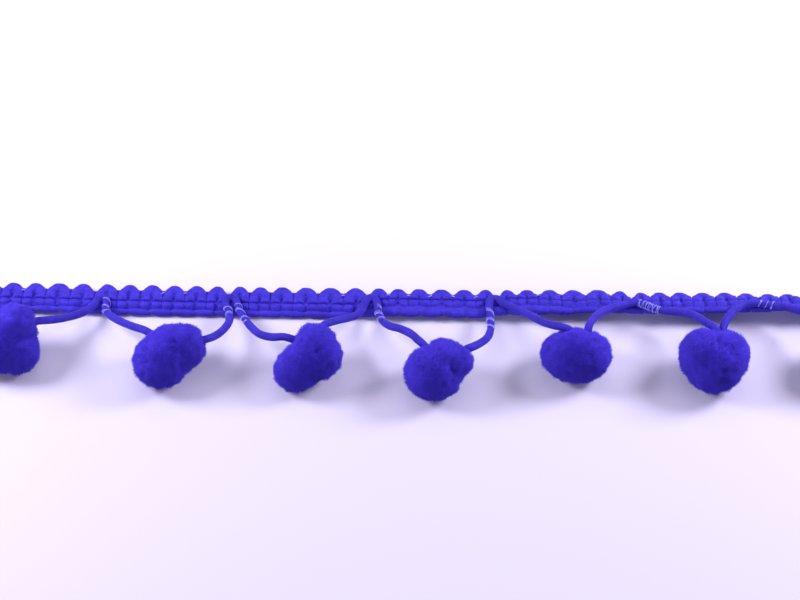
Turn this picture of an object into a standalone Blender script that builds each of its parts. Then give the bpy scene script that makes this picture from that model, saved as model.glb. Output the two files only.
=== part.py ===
"""A length of pompom fringe trim, lying as it was laid down: a narrow crochet-knit braid heading with a picot
edge, one soft cord that loops down from the heading to each ball, and seven short-pile balls."""

import math

import bmesh
import bpy
from mathutils import Vector

SCALE = 0.001  # metres in a millimetre, the unit of every length below
MIDDLE = Vector((3.55, -9.6, 0.0))  # the middle of the trim's footprint in the coordinates of the tables

GAP = 0.3  # between the cord and what it passes through
CORD_RADIUS = 0.69
CORD_STEP = 1.5  # between the cord's cross-sections
CORD_CUT_EXTRA = 1.0  # how far a clearance runs past the cord's two ends

HEADING_START = -68.4
HEADING_END = 75.5
REAR_LINE = 0.88  # the rear lower edge, on the surface

PICOTS_A_REPEAT = 6
COLUMNS_A_PICOT = 6
PICOT_HALF = 0.29  # half a picot's width, as a share of the way from valley to valley
JUNCTION_NOTCH = 0.35  # how much deeper the edge is drawn in at a junction, as a share

# Where each picot stands along the trim
PICOTS = (
    -66.8, -63.5, -60.3, -57.1, -53.9, -50.4, -46.7, -43.2, -40.0, -36.6, -33.3, -30.0, -26.9, -23.7, -20.7,
    -17.5, -13.9, -10.3, -6.5, -3.1, -0.3, 2.8, 6.1, 9.5, 12.8, 15.7, 18.7, 22.0, 25.5, 29.3, 32.7, 35.5, 38.3,
    41.3, 44.7, 48.0, 51.2, 54.4, 57.2, 60.4, 63.7, 67.2, 70.5, 73.8,
)

# The heading lies flat up to the middle and then turns up at its front edge
TILTS = (
    # along, degrees
    (-68.4, 5),
    (-51.4, 4),
    (-39.7, 0),
    (-9.0, 0),
    (-1.0, 5),
    (6.5, 5),
    (10.5, 3),
    (15.5, 12),
    (24.0, 16),
    (29.5, 22),
    (44.3, 27),
    (50.9, 32),
    (57.6, 38),
    (75.5, 38),
)

# The heading's cross-section, from the rear lower corner over the top to the front lower corner. Each point is
# moved beside a picot, sunk at a valley between two picots, and moved under the middle of a picot, where its two
# legs part.
SECTION = (
    # across, height, beside across, valley height, middle across, middle height
    (0.45, 0.00, 0.45, 0.00, 0.00, 0.00),
    (0.00, 0.75, 0.70, 0.00, 0.00, 0.00),
    (0.25, 1.35, 0.60, -0.15, 0.00, 0.00),
    (0.85, 1.65, 0.30, -0.35, 0.00, -0.10),
    (1.35, 1.68, 0.00, -0.35, 0.00, -0.45),
    (2.70, 1.65, 0.00, -0.30, 0.00, -0.45),
    (3.20, 1.35, 0.00, -0.10, 0.00, -0.30),
    (3.75, 1.58, 0.00, -0.12, 0.00, -0.35),
    (4.28, 1.12, 0.00, 0.00, 0.00, -0.10),
    (4.75, 0.72, -0.15, 0.00, 0.10, 0.00),
    (4.50, 0.00, -0.10, 0.00, 0.10, 0.00),
)

# The cord's route, its centre from the heading's left end to its right one. "down" and "up" are the two sides of
# a loop, between the heading and a ball, and "core" is what the ball hides.
LOOPS = (
    dict(
        down=((-65.3, -2.2, 1.9), (-64.7, -3.4, 1.9), (-63.8, -5.2, 2.5), (-62.2, -7.3, 3.1), (-59.9, -9.8, 4.2)),
        core=((-56.6, -12.1, 4.6),),
        up=((-52.3, -10.1, 5.9), (-50.6, -9.0, 5.0), (-48.8, -7.8, 4.0), (-47.0, -6.3, 3.0), (-45.8, -5.0, 2.4),
            (-44.8, -3.4, 1.9), (-44.4, -2.3, 1.8)),
    ),
    dict(
        down=((-43.5, -2.0, 1.8), (-43.0, -3.0, 1.8), (-43.0, -4.7, 2.2), (-41.8, -6.3, 2.7), (-40.1, -8.1, 3.7),
              (-38.2, -9.8, 4.8), (-36.2, -11.3, 5.7)),
        core=((-32.7, -12.9, 4.6),),
        up=((-27.6, -12.4, 5.4), (-26.3, -11.0, 4.6), (-25.2, -8.9, 3.7), (-24.7, -6.5, 2.8), (-25.0, -4.4, 2.2),
            (-25.6, -2.8, 1.8), (-25.4, -1.7, 1.8)),
    ),
    dict(
        down=((-24.4, -1.7, 1.8), (-23.8, -2.8, 1.8), (-23.4, -4.4, 2.2), (-22.5, -6.4, 2.8), (-21.4, -8.8, 3.9),
              (-20.0, -10.9, 4.9), (-18.3, -11.9, 5.5), (-16.5, -11.9, 5.6)),
        core=((-13.4, -12.0, 4.8),),
        up=((-10.8, -9.6, 5.6), (-9.3, -8.0, 4.6), (-7.6, -6.5, 3.5), (-6.2, -5.2, 2.7), (-5.5, -3.8, 2.2),
            (-5.2, -2.4, 1.9), (-4.7, -1.5, 1.9)),
    ),
    dict(
        down=((-3.7, -1.5, 1.9), (-3.3, -2.6, 1.95), (-3.2, -4.2, 2.35), (-2.6, -6.2, 2.8), (-1.5, -7.9, 3.6),
              (0.1, -9.1, 4.4), (1.7, -10.7, 5.2), (2.9, -12.4, 5.7)),
        core=((5.8, -14.2, 4.6),),
        up=((9.9, -13.3, 5.4), (11.4, -11.9, 4.7), (12.7, -10.0, 3.9), (13.2, -7.7, 3.2), (13.2, -5.4, 2.7),
            (13.1, -3.9, 2.4), (13.1, -2.4, 2.2), (13.5, -1.3, 2.1)),
    ),
    dict(
        down=((14.4, -1.4, 2.2), (15.1, -2.3, 2.4), (16.3, -3.1, 2.6), (17.7, -4.2, 2.9), (19.1, -5.7, 3.7),
              (20.4, -7.6, 4.8), (21.9, -9.2, 5.9), (23.3, -10.2, 6.7)),
        core=((24.5, -10.6, 6.4), (25.0, -11.3, 5.6), (25.8, -11.5, 5.2), (26.6, -11.1, 5.6), (26.9, -10.6, 6.4)),
        up=((27.1, -9.8, 6.7), (27.8, -8.1, 6.0), (28.8, -6.2, 5.0), (30.0, -4.8, 4.2), (31.4, -3.8, 3.7),
            (32.9, -3.1, 3.5)),
    ),
    dict(
        down=((34.2, -2.6, 3.4), (35.5, -3.0, 3.5), (36.7, -3.8, 3.7), (38.0, -4.5, 3.9), (39.5, -4.9, 4.2),
              (41.2, -5.5, 4.7), (42.6, -6.8, 5.6), (43.9, -8.8, 6.6)),
        core=((45.1, -10.5, 7.2), (45.4, -11.1, 6.4), (45.9, -10.9, 5.0), (46.4, -10.0, 4.5)),
        up=((46.5, -8.9, 4.8), (46.8, -7.8, 5.0), (47.6, -6.2, 4.9), (48.7, -4.6, 4.5), (50.0, -3.3, 4.1)),
    ),
    dict(
        down=((51.4, -2.8, 3.9), (52.8, -2.9, 3.9), (54.3, -3.2, 4.0), (55.9, -3.7, 4.3), (57.7, -4.6, 4.7),
              (59.1, -6.0, 5.5), (60.6, -7.8, 6.2), (61.9, -9.5, 6.6)),
        core=((64.5, -10.6, 4.8),),
        up=((67.4, -10.4, 6.2), (69.1, -8.2, 5.6), (70.3, -5.5, 4.7), (70.9, -3.6, 4.2), (71.3, -2.2, 3.9)),
    ),
)

# Each ball is two to four lumps run together: where its middle stands, how softly its lumps meet, and each
# lump's place from that middle and radius.
BALLS = (
    dict(at=(-56.5, -12.7), blend=0.25,
         lumps=((1.6, 1.8, 1.9, 3.2), (1.75, -0.8, -0.6, 3.3), (-1.2, 0.0, 0.0, 4.15))),
    dict(at=(-32.9, -14.0), blend=0.45,
         lumps=((-1.1, -1.2, -0.6, 3.9), (2.2, 0.8, 0.4, 3.2), (-0.1, 0.6, 0.4, 3.0))),
    dict(at=(-13.1, -14.2), blend=0.4,
         lumps=((-1.75, -1.7, -1.05, 3.0), (1.1, 1.6, 1.3, 2.85), (1.7, 0.1, 0.2, 3.25), (-0.2, -0.6, -0.3, 3.1))),
    dict(at=(6.2, -15.6), blend=0.15,
         lumps=((-1.45, -0.95, -0.55, 4.0), (-0.1, 0.5, 0.0, 3.45), (1.85, 0.35, 0.4, 2.55), (0.5, -2.1, -1.3, 2.0))),
    dict(at=(25.6, -12.9), blend=0.4,
         lumps=((-2.1, 0.1, 0.1, 3.2), (1.3, -0.1, 0.1, 3.45), (-0.4, -0.05, 0.15, 3.9))),
    dict(at=(45.2, -13.6), blend=0.25,
         lumps=((-1.3, 0.3, 0.2, 4.0), (1.35, 0.3, 0.4, 3.45), (-0.2, -0.7, -0.35, 4.2))),
    dict(at=(64.7, -12.3), blend=0.4,
         lumps=((-1.2, 0.3, 0.3, 4.0), (1.2, -0.8, -0.3, 3.9), (0.0, 0.5, 0.1, 3.7))),
)
FACE_CUTS = 7  # cuts across each face of the cube that a ball is rounded from
FLAT_SINK = 0.15  # how far a ball's lowest point is pressed flat
LOCKS_A_BALL = 42
LOCK_HEIGHT = 0.35
LOCK_CLEAR = 1.7  # locks keep this far from the cord's middle line
GOLDEN_ANGLE = math.pi * (3 - math.sqrt(5))

HEADING_BLUE = (0.062, 0.040, 0.610, 1.0)
CORD_BLUE = (0.052, 0.034, 0.560, 1.0)
BALL_BLUE = (0.038, 0.024, 0.440, 1.0)


def at(x, y, z):
    """A place in the tables, in the part's own frame and in metres."""
    return (Vector((x, y, z)) - MIDDLE) * SCALE


def clear_scene():
    for thing in list(bpy.data.objects):
        bpy.data.objects.remove(thing, do_unlink=True)


def collection(name):
    made = bpy.data.collections.new(name)
    bpy.context.scene.collection.children.link(made)
    return made


def material(name, colour, roughness):
    made = bpy.data.materials.new(name)
    made.use_nodes = True
    shader = made.node_tree.nodes["Principled BSDF"]
    shader.inputs["Base Color"].default_value = colour
    shader.inputs["Roughness"].default_value = roughness
    shader.inputs["Metallic"].default_value = 0.0
    return made


def ease(share):
    return share * share * (3 - 2 * share)


def tilt_at(x):
    """The heading's turn about its rear lower edge, in radians."""
    for (low, first), (high, last) in zip(TILTS, TILTS[1:]):
        if x <= high:
            share = max(0.0, (x - low) / (high - low))
            return math.radians(first + (last - first) * ease(share))
    return math.radians(TILTS[-1][1])


def section_points(x, beside, valley, middle):
    """One cross-section of the heading, tilted about its rear lower edge."""
    turn = tilt_at(x)
    points = []
    for across, height, beside_in, valley_up, middle_in, middle_up in SECTION:
        drawn = across + beside * beside_in + middle * middle_in
        rise = height + valley * valley_up + middle * middle_up
        y = REAR_LINE - drawn * math.cos(turn) + rise * math.sin(turn)
        z = drawn * math.sin(turn) + rise * math.cos(turn)
        points.append(at(x, y, z))
    return points


def heading_sections():
    """Six cross-sections a picot: a valley, the first leg, the groove in the middle and the second leg."""
    valleys = [(a + b) / 2 for a, b in zip(PICOTS, PICOTS[1:])]
    starts = [HEADING_START] + valleys
    ends = valleys + [HEADING_END]
    sections = []
    for number, (start, middle, end) in enumerate(zip(starts, PICOTS, ends)):
        for column in range(COLUMNS_A_PICOT):
            share = column / COLUMNS_A_PICOT
            if share < 0.5:
                x = start + (middle - start) * 2 * share
            else:
                x = middle + (end - middle) * (2 * share - 1)
            beside = 1 - math.sqrt(max(0.0, 1 - ((share - 0.5) / PICOT_HALF) ** 2))
            if column == 0 and number % PICOTS_A_REPEAT == 1:
                beside += JUNCTION_NOTCH
            in_valley = 1.0 if column == 0 else 0.0
            in_middle = 1.0 if column * 2 == COLUMNS_A_PICOT else 0.0
            sections.append(section_points(x, beside, in_valley, in_middle))
    sections.append(section_points(HEADING_END, 1.0, 1.0, 0.0))
    return sections


def make_heading(home, finish):
    """A loft through the cross-sections, closed at its two cut ends."""
    bm = bmesh.new()
    rings = [[bm.verts.new(point) for point in points] for points in heading_sections()]
    for left, right in zip(rings, rings[1:]):
        for i, corner in enumerate(left):
            j = (i + 1) % len(left)
            bm.faces.new((corner, right[i], right[j], left[j]))
    bm.faces.new(rings[0])
    bm.faces.new(rings[-1][::-1])
    bmesh.ops.recalc_face_normals(bm, faces=bm.faces)
    mesh = bpy.data.meshes.new("heading")
    bm.to_mesh(mesh)
    bm.free()
    mesh.shade_smooth()
    heading = bpy.data.objects.new("heading", mesh)
    heading.data.materials.append(finish)
    home.objects.link(heading)
    return heading


def cord_points():
    return [Vector(point) for loop in LOOPS for side in ("down", "core", "up") for point in loop[side]]


def smooth_curve(points, step):
    """Points one step apart on a curve through the given ones, whose bends are even where they are uneven."""
    ends = [2 * points[0] - points[1]] + points + [2 * points[-1] - points[-2]]
    knots = [0.0]
    for a, b in zip(ends, ends[1:]):
        knots.append(knots[-1] + math.sqrt((b - a).length))
    fine = []
    for i in range(1, len(ends) - 2):
        p, t = ends[i - 1:i + 3], knots[i - 1:i + 3]
        for k in range(12):
            at_t = t[1] + (t[2] - t[1]) * k / 12
            a = [p[j].lerp(p[j + 1], (at_t - t[j]) / (t[j + 1] - t[j])) for j in range(3)]
            b = [a[j].lerp(a[j + 1], (at_t - t[j]) / (t[j + 2] - t[j])) for j in range(2)]
            fine.append(b[0].lerp(b[1], (at_t - t[1]) / (t[2] - t[1])))
    fine.append(points[-1])
    length = sum((b - a).length for a, b in zip(fine, fine[1:]))
    count = round(length / step)
    even, walked, wanted = [fine[0]], 0.0, length / count
    for a, b in zip(fine, fine[1:]):
        part = (b - a).length
        while walked + part >= wanted and len(even) < count:
            even.append(a.lerp(b, (wanted - walked) / part))
            wanted += length / count
        walked += part
    even.append(fine[-1])
    return even


def tube(name, points, radius, home):
    """A round tube along the points, as a mesh with its end caps welded on."""
    curve = bpy.data.curves.new(name, "CURVE")
    curve.dimensions = "3D"
    curve.bevel_depth = radius * SCALE
    curve.bevel_resolution = 2
    curve.use_fill_caps = True
    spline = curve.splines.new("POLY")
    spline.points.add(len(points) - 1)
    for knot, point in zip(spline.points, points):
        knot.co = (*at(*point), 1.0)
    guide = bpy.data.objects.new(name + "_curve", curve)
    home.objects.link(guide)
    bpy.context.view_layer.update()
    graph = bpy.context.evaluated_depsgraph_get()
    mesh = bpy.data.meshes.new_from_object(guide.evaluated_get(graph))
    bpy.data.objects.remove(guide, do_unlink=True)
    bm = bmesh.new()
    bm.from_mesh(mesh)
    bmesh.ops.remove_doubles(bm, verts=bm.verts, dist=1e-6)
    bmesh.ops.recalc_face_normals(bm, faces=bm.faces)
    bm.to_mesh(mesh)
    bm.free()
    mesh.shade_smooth()
    made = bpy.data.objects.new(name, mesh)
    home.objects.link(made)
    return made


def lumpy_distance(place, lumps, blend):
    """How far a place lies outside lumps that run together with a soft seam."""
    total = 0.0
    for x, y, z, radius in lumps:
        total += math.exp(-((place - Vector((x, y, z))).length - radius) / blend)
    return -blend * math.log(total)


def lumpy_radius(direction, lumps, blend):
    low, high = 0.0, 9.0
    while high - low > 0.001:
        middle = (low + high) / 2
        if lumpy_distance(direction * middle, lumps, blend) < 0:
            low = middle
        else:
            high = middle
    return (low + high) / 2


def raise_locks(bm, centre, route):
    """Pulls a four-sided lock of pile out of faces that are spread evenly over the ball."""
    chosen = set()
    faces = list(bm.faces)
    middles = [face.calc_center_median() for face in faces]
    for number in range(LOCKS_A_BALL):
        up = 1 - 2 * (number + 0.5) / LOCKS_A_BALL
        around = GOLDEN_ANGLE * number
        flat = math.sqrt(1 - up * up)
        aim = Vector((flat * math.cos(around), flat * math.sin(around), up))
        open_faces = [
            i for i, middle in enumerate(middles)
            if i not in chosen and middle.z > 3 * FLAT_SINK
            and min((middle - point).length for point in route) > LOCK_CLEAR
        ]
        chosen.add(max(open_faces, key=lambda i: (middles[i] - centre).normalized().dot(aim)))
    normals = {i: faces[i].normal.copy() for i in sorted(chosen)}
    for number, i in enumerate(sorted(chosen)):
        tip = bmesh.ops.poke(bm, faces=[faces[i]])["verts"][0]
        tip.co += normals[i] * LOCK_HEIGHT * (1 + 0.3 * math.cos(2.4 * number))


def make_ball(number, ball, route, home, finish):
    """A ball of short pile: lumps that run together, locks at its surface and a small flat spot below."""
    bm = bmesh.new()
    bmesh.ops.create_cube(bm, size=2.0)
    bmesh.ops.subdivide_edges(bm, edges=bm.edges, cuts=FACE_CUTS, use_grid_fill=True)
    for corner in bm.verts:
        # The tangent spreads the points evenly when the cube is rounded
        spread = Vector([math.tan(c * math.pi / 4) for c in corner.co]).normalized()
        corner.co = spread * lumpy_radius(spread, ball["lumps"], ball["blend"])
    lowest = min(corner.co.z for corner in bm.verts)
    centre = Vector((*ball["at"], -lowest - FLAT_SINK))
    for corner in bm.verts:
        corner.co += centre
        corner.co.z = max(corner.co.z, 0.0)
    bm.normal_update()
    raise_locks(bm, centre, route)
    for corner in bm.verts:
        corner.co = (corner.co - centre) * SCALE
    name = "pompom_%d" % number
    mesh = bpy.data.meshes.new(name)
    bm.to_mesh(mesh)
    bm.free()
    mesh.shade_smooth()
    made = bpy.data.objects.new(name, mesh)
    made.location = at(*centre)
    made.data.materials.append(finish)
    home.objects.link(made)
    return made


def cut(thing, cutter):
    boolean = thing.modifiers.new("cord clearance", "BOOLEAN")
    boolean.operation = "DIFFERENCE"
    boolean.solver = "EXACT"
    boolean.use_self = True
    boolean.object = cutter


def main():
    clear_scene()
    parts = collection("pompom_trim")
    cutters = collection("cutters")
    route = smooth_curve(cord_points(), CORD_STEP)

    cord = tube("pompom_cord", route, CORD_RADIUS, parts)
    cord.data.materials.append(material("cord", CORD_BLUE, 0.75))

    first = route[0] + (route[0] - route[1]).normalized() * CORD_CUT_EXTRA
    last = route[-1] + (route[-1] - route[-2]).normalized() * CORD_CUT_EXTRA
    clearance = tube("cord_clearance", [first] + route + [last], CORD_RADIUS + GAP, cutters)
    clearance.hide_render = True
    clearance.display_type = "WIRE"

    cut(make_heading(parts, material("heading", HEADING_BLUE, 0.7)), clearance)
    pile = material("pile", BALL_BLUE, 0.95)
    for number, ball in enumerate(BALLS, 1):
        cut(make_ball(number, ball, route, parts, pile), clearance)


main()
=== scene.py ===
"""The look of a length of pompom fringe trim: yarn heading, knitted cord, filament and balls of cut pile."""

import math

import bpy
import numpy as np
from mathutils import Matrix, Vector


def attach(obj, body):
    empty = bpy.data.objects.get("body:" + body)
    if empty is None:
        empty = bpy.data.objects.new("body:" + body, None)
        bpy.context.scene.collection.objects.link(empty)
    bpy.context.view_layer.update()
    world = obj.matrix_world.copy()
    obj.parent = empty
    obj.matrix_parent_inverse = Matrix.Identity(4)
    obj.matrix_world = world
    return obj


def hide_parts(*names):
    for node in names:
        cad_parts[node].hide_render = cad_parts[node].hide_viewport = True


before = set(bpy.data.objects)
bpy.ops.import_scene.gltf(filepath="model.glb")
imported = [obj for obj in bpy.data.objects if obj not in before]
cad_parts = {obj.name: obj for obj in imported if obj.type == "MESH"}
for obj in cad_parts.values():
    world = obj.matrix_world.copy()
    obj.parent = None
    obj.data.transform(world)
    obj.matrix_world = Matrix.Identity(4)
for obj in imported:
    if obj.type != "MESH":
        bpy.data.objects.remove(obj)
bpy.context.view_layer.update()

# Every length below is in millimetres, in the same coordinates as the tables of the part's own source
MM = 0.001
MIDDLE = np.array((3.55, -9.6, 0.0))

# The camera stands where the photograph was taken from
CAMERA_RISE = math.radians(50.0)
CAMERA_ROLL = math.radians(0.9)
LENS = 100.0
SENSOR = 36.0
PHOTO_WIDTH = 800
PIXELS_A_MM = 6.75

FLOOR_SIZE = 3000.0

REAR_LINE = 0.88
TILTS = (
    # along, degrees
    (-68.4, 5),
    (-51.4, 4),
    (-39.7, 0),
    (-9.0, 0),
    (-1.0, 5),
    (6.5, 5),
    (10.5, 3),
    (15.5, 12),
    (24.0, 16),
    (29.5, 22),
    (44.3, 25),
    (50.9, 29),
    (57.6, 35),
    (75.5, 35),
)
HEADING_START = -68.4
HEADING_END = 75.5
PICOTS_A_REPEAT = 6
PICOTS = (
    -66.8, -63.5, -60.3, -57.1, -53.9, -50.4, -46.7, -43.2, -40.0, -36.6, -33.3, -30.0, -26.9, -23.7,
    -20.7, -17.5, -13.9, -10.3, -6.5, -3.1, -0.3, 2.8, 6.1, 9.5, 12.8, 15.7, 18.7, 22.0, 25.5, 29.3,
    32.7, 35.5, 38.3, 41.3, 44.7, 48.0, 51.2, 54.4, 57.2, 60.4, 63.7, 67.2, 70.5, 73.8,
)

# One picot is a yarn that comes up one leg, over the edge and down the other leg
LEG = (
    # share of the way to the valley, across, height, half width as a share of it, half height
    (0.55, 4.32, 0.46, 0.44, 0.40),
    (0.56, 4.12, 0.62, 0.46, 0.54),
    (0.575, 3.85, 0.76, 0.48, 0.76),
    (0.575, 3.45, 0.79, 0.48, 0.80),
    (0.575, 3.20, 0.77, 0.475, 0.76),
    (0.575, 3.00, 0.53, 0.46, 0.48),
    (0.575, 2.80, 0.78, 0.475, 0.77),
    (0.575, 2.50, 0.81, 0.48, 0.81),
    (0.575, 2.15, 0.82, 0.48, 0.81),
    (0.57, 1.85, 0.80, 0.465, 0.75),
    (0.57, 1.50, 0.82, 0.45, 0.74),
    (0.50, 1.15, 0.80, 0.43, 0.58),
    (0.37, 0.88, 0.83, 0.44, 0.54),
    (0.26, 0.64, 0.88, 0.42, 0.54),
    (0.14, 0.47, 0.92, 0.38, 0.55),
    (0.00, 0.43, 0.94, 0.36, 0.55),
)
LEG_STEP = 0.14
LEG_SIDES = 16
LEG_SQUARENESS = 0.65
PLIES = 5
PLY_DEPTH = 0.035
PLY_TURNS_A_MM = 0.22
LEG_SLACK = 0.02
YARN_SWELL = 0.03
YARN_SWELL_SIZE = 0.7

# One stitch of the chain along the front edge, which leans over the next one
CHAIN = (
    # share of the way from picot to picot, across, height, radius
    (-0.12, 4.38, 0.70, 0.16),
    (0.02, 4.41, 0.66, 0.36),
    (0.28, 4.44, 0.64, 0.49),
    (0.55, 4.45, 0.62, 0.51),
    (0.82, 4.44, 0.56, 0.46),
    (1.00, 4.40, 0.46, 0.34),
    (1.10, 4.36, 0.38, 0.14),
)
CHAIN_STEP = 0.17
CHAIN_SIDES = 14
CHAIN_SLACK = 0.03
CHAIN_INSET = 0.1
# Where the chain lies flat and wide. The rows of legs behind it move back there, by the second table
CHAIN_SPREADS = (
    # along, times as wide
    (-6.5, 1.0),
    (-3.5, 1.5),
    (20.0, 1.5),
    (26.0, 1.0),
)
SPREAD_INWARD = 0.54
SPREAD_RISE = 0.28
WIDEST_SPREAD = 0.5
MOVES_BACK = (
    # across, how far at the chain's widest
    (1.1, 0.0),
    (3.0, 0.9),
    (4.2, 0.75),
)
# How far the heading's rear edge wanders towards the front
REAR_DRIFTS = (
    (30.0, 0.0),
    (35.5, 0.28),
    (50.0, 0.2),
    (54.0, 0.36),
)

EDGE_THREAD = dict(across=0.78, high=0.92, low=0.68, radius=0.27)
PINCH_THREADS = (
    dict(across=1.85, high=1.36, low=1.05, radius=0.08),
    dict(across=3.22, high=0.10, low=0.28, radius=0.10),
)
THREAD_STEP = 0.2
THREAD_SIDES = 8
THREAD_ARCH = 0.7
THREAD_WANDER = 0.04
THREAD_WANDER_SIZE = 1.5
# The outline, as across and height, of what fills the heading under its yarns
CORE = ((0.95, 0.35), (0.95, 0.80), (1.3, 1.12), (3.9, 1.1), (4.1, 0.9), (4.1, 0.3))
CORE_INSET = 0.2
CORE_STEP = 0.5
# The lowest that a point may lie, on the heading itself and above the table
HEADING_LOWEST = 0.02
LOWEST = 0.01

# How far the rear edge is drawn in at each junction with the cord, from the left
JUNCTION_PULLS = (0.4, 0.35, 0.55, 0.15, 0.70, 0.90, 0.35, 0.4)
JUNCTION_REACH = 1.4
JUNCTION_FULL = 1.3
JUNCTION_FADE = 2.0

CORD_STEP = 0.35
CORD_SIDES = 18
CORD_CLEAR = 0.04
CORD_SWELL = 0.03
CORD_SWELL_SIZE = 1.2
CORD_END_ROUND = 0.98
YARN_RADIUS = 0.58

# The cord's route, its centre from the heading's left end to its right one, as in the part's own source
LOOPS = (
    dict(
        down=((-65.3, -2.2, 1.9), (-64.7, -3.4, 1.9), (-63.8, -5.2, 2.5), (-62.2, -7.3, 3.1),
              (-59.9, -9.8, 4.2)),
        core=((-56.6, -12.1, 4.6),),
        up=((-52.3, -10.1, 5.9), (-50.6, -9.0, 5.0), (-48.8, -7.8, 4.0), (-47.0, -6.3, 3.0),
            (-45.8, -5.0, 2.4), (-44.8, -3.4, 1.9), (-44.4, -2.3, 1.8)),
    ),
    dict(
        down=((-43.5, -2.0, 1.8), (-43.0, -3.0, 1.8), (-43.0, -4.7, 2.2), (-41.8, -6.3, 2.7),
              (-40.1, -8.1, 3.7), (-38.2, -9.8, 4.8), (-36.2, -11.3, 5.7)),
        core=((-32.7, -12.9, 4.6),),
        up=((-27.6, -12.4, 5.4), (-26.3, -11.0, 4.6), (-25.2, -8.9, 3.7), (-24.7, -6.5, 2.8),
            (-25.0, -4.4, 2.2), (-25.6, -2.8, 1.8), (-25.4, -1.7, 1.8)),
    ),
    dict(
        down=((-24.4, -1.7, 1.8), (-23.8, -2.8, 1.8), (-23.4, -4.4, 2.2), (-22.5, -6.4, 2.8),
              (-21.4, -8.8, 3.9), (-20.0, -10.9, 4.9), (-18.3, -11.9, 5.5), (-16.5, -11.9, 5.6)),
        core=((-13.4, -12.0, 4.8),),
        up=((-10.8, -9.6, 5.6), (-9.3, -8.0, 4.6), (-7.6, -6.5, 3.5), (-6.2, -5.2, 2.7), (-5.5, -3.8, 2.2),
            (-5.2, -2.4, 1.9), (-4.7, -1.5, 1.9)),
    ),
    dict(
        down=((-3.7, -1.5, 1.9), (-3.3, -2.6, 1.95), (-3.2, -4.2, 2.35), (-2.6, -6.2, 2.8),
              (-1.5, -7.9, 3.6), (0.1, -9.1, 4.4), (1.7, -10.7, 5.2), (2.9, -12.4, 5.7)),
        core=((5.8, -14.2, 4.6),),
        up=((9.9, -13.3, 5.4), (11.4, -11.9, 4.7), (12.7, -10.0, 3.9), (13.2, -7.7, 3.2), (13.2, -5.4, 2.7),
            (13.1, -3.9, 2.4), (13.1, -2.4, 2.2), (13.5, -1.3, 2.1)),
    ),
    dict(
        down=((14.4, -1.4, 2.2), (15.1, -2.3, 2.4), (16.3, -3.1, 2.6), (17.7, -4.2, 2.9), (19.1, -5.7, 3.7),
              (20.4, -7.6, 4.8), (21.9, -9.2, 5.9), (23.3, -10.2, 6.7)),
        core=((24.5, -10.6, 6.4), (25.0, -11.3, 5.6), (25.8, -11.5, 5.2), (26.6, -11.1, 5.6),
              (26.9, -10.6, 6.4)),
        up=((27.1, -9.8, 6.7), (27.8, -8.1, 6.0), (28.8, -6.2, 5.0), (30.0, -4.8, 4.2), (31.4, -3.8, 3.7),
            (32.9, -3.1, 3.5)),
    ),
    dict(
        down=((34.2, -2.6, 3.4), (35.5, -3.0, 3.5), (36.7, -3.8, 3.7), (38.0, -4.5, 3.9), (39.5, -4.9, 4.2),
              (41.2, -5.5, 4.7), (42.6, -6.8, 5.6), (43.9, -8.8, 6.6)),
        core=((45.1, -10.5, 7.2), (45.4, -11.1, 6.4), (45.9, -10.9, 5.0), (46.4, -10.0, 4.5)),
        up=((46.5, -8.9, 4.8), (46.8, -7.8, 5.0), (47.6, -6.2, 4.9), (48.7, -4.6, 4.5), (50.0, -3.3, 4.1)),
    ),
    dict(
        down=((51.4, -2.8, 3.9), (52.8, -2.9, 3.9), (54.3, -3.2, 4.0), (55.9, -3.7, 4.3), (57.7, -4.6, 4.7),
              (59.1, -6.0, 5.5), (60.6, -7.8, 6.2), (61.9, -9.5, 6.6)),
        core=((64.5, -10.6, 4.8),),
        up=((67.4, -10.4, 6.2), (69.1, -8.2, 5.6), (70.3, -5.5, 4.7), (70.9, -3.6, 4.2), (71.3, -2.2, 3.9)),
    ),
)

# Where clear filament is wound round the cord, counted along it from each junction, backwards where negative
BINDINGS = (
    # junction, first, last, pitch, strands side by side
    (0, 0.5, 2.4, 1.3, 4),
    (1, 0.8, 4.4, 1.5, 4),
    (2, -4.5, -2.2, 1.2, 4),
    (2, 2.0, 7.2, 1.7, 4),
    (3, 2.6, 6.4, 1.4, 4),
    (4, -7.7, -3.2, 1.8, 5),
    (5, 1.4, 5.1, 0.44, 1),
    (5, 1.5, 5.0, -0.6, 1),
    (6, 1.6, 4.0, 0.9, 2),
    (7, -2.8, -0.5, 1.3, 4),
)
BINDING_SQUEEZE = 0.12
SQUEEZE_FADE = 0.8
STRAND_RADIUS = 0.052
STRAND_OUT = 0.7
STRAND_SWELL = 0.25
STRAND_SWELL_SIZE = 0.6
STRAND_WANDER = 0.14
STRAND_WANDER_SIZE = 0.8
STRAND_UNLIKENESS = 0.5
TURN_WANDER = 0.9
TURN_WANDER_RATE = 1.7
STRAND_STEP = 0.22
STRAND_SIDES = 6
# The same filament shows as a short arch in some valleys between two picots, and in all near the middle
VALLEY_SHARE = 0.3
VALLEY_SURE = 12.0
VALLEY_POINTS = 7
VALLEY_HALF_WIDTH = 0.32
VALLEY_ACROSS = 1.62
VALLEY_SHIFT = 0.05
VALLEY_LEAN = 0.12
VALLEY_HEIGHT = 1.42
VALLEY_RISE = 0.22
VALLEY_RADIUS = 0.05
VALLEY_SWELL = 0.07

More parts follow.
